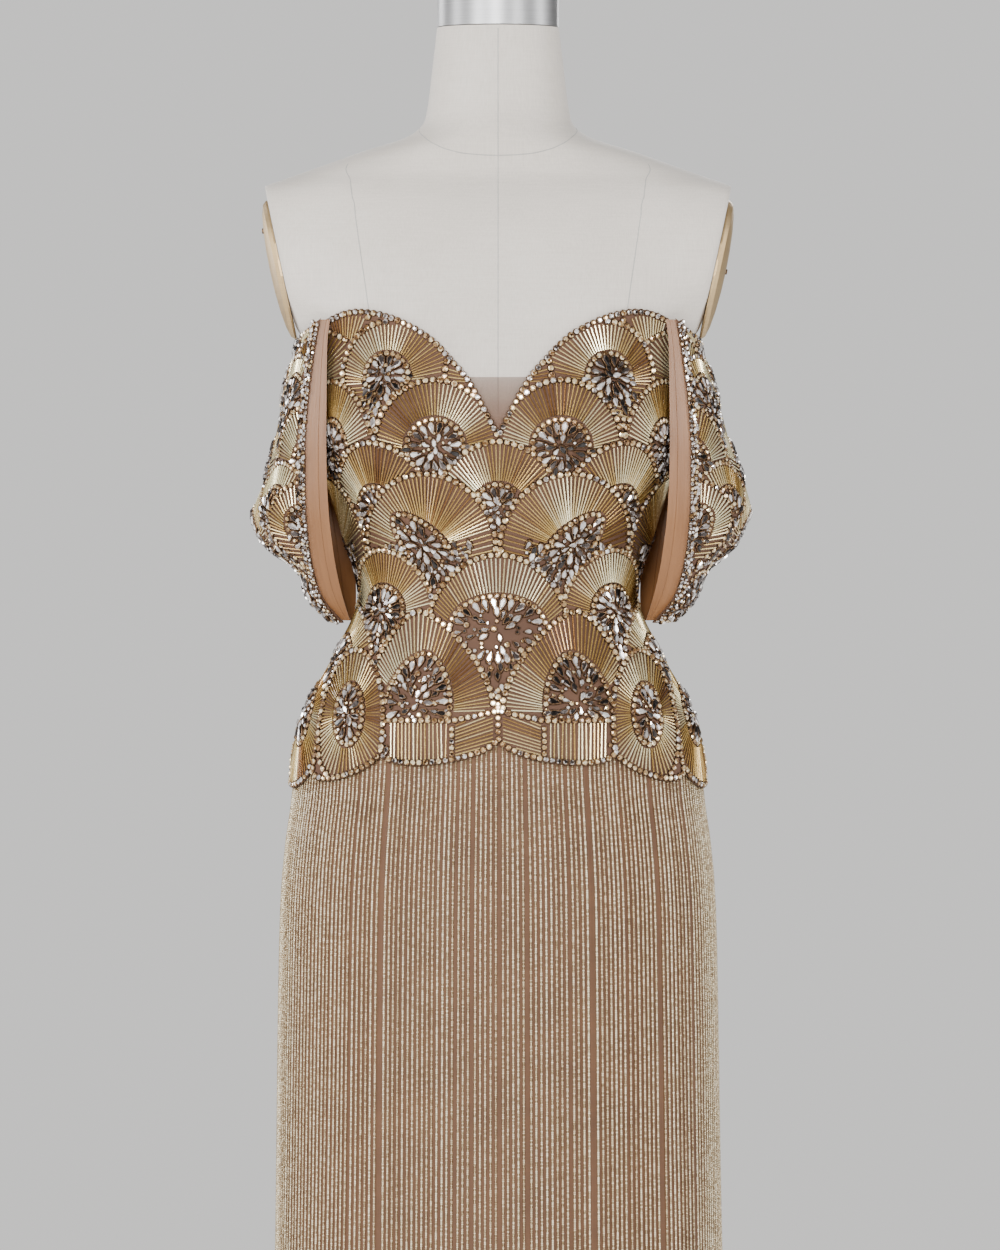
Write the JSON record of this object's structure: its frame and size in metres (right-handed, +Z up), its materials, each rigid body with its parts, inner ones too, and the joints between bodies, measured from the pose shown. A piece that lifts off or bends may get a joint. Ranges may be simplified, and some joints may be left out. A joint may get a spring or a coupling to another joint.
{
  "type": "beaded evening gown on a limbless dress form",
  "caption": "Full-length strapless gown with gold-beaded bodice, scalloped hip, drop sleeves and seed-beaded column skirt, worn on a limbless linen dress form with a pole stand",
  "frame": {"origin": "on the floor, at the centre of the stand base's underside, below the pole", "axes": "+Z up; the gown's front faces -Y; +X is on the right of someone who looks at the front"},
  "size_m": [0.4071, 0.3335, 1.6004],
  "materials": {
    "gold_beading": "tulle covered with pale gold bugle beads, stones and crystals",
    "seed_bead_cloth": "nude cloth under upright rows of champagne seed beads",
    "nude_silk": "satin lining",
    "nude_tulle": "sheer skin-toned mesh",
    "form_linen": "pale woven cover with thin seams",
    "zip_metal": "plain zip metal",
    "brushed_steel": "brushed, silver coloured",
    "gold_plate": "satin pale gold",
    "black_iron": "black satin paint"
  },
  "bodies": {
    "gown_on_form": {"bodice_front": "gold_beading", "bodice_back_left": "gold_beading", "bodice_back_right": "gold_beading", "neck_mesh": "nude_tulle", "skirt_front": "seed_bead_cloth", "skirt_back_left": "seed_bead_cloth", "skirt_back_right": "seed_bead_cloth", "sleeve_left_panel": "gold_beading", "sleeve_right_panel": "gold_beading", "sleeve_left_lining": "nude_silk", "sleeve_right_lining": "nude_silk", "zip_slider": "zip_metal", "form_torso": "form_linen", "neck_cap": "brushed_steel", "arm_plate_left": "gold_plate", "arm_plate_right": "gold_plate", "stand_pole": "black_iron", "stand_base": "black_iron"},
    "pull_tab": {"zip_pull": "zip_metal"}
  },
  "joints": [
    {"name": "pull_tab_swing", "type": "hinge", "parent": "gown_on_form", "child": "pull_tab", "pos_m": [0, 0.10816, 1.276], "axis": [1, 0, 0], "range_deg": [0, 140]}
  ]
}
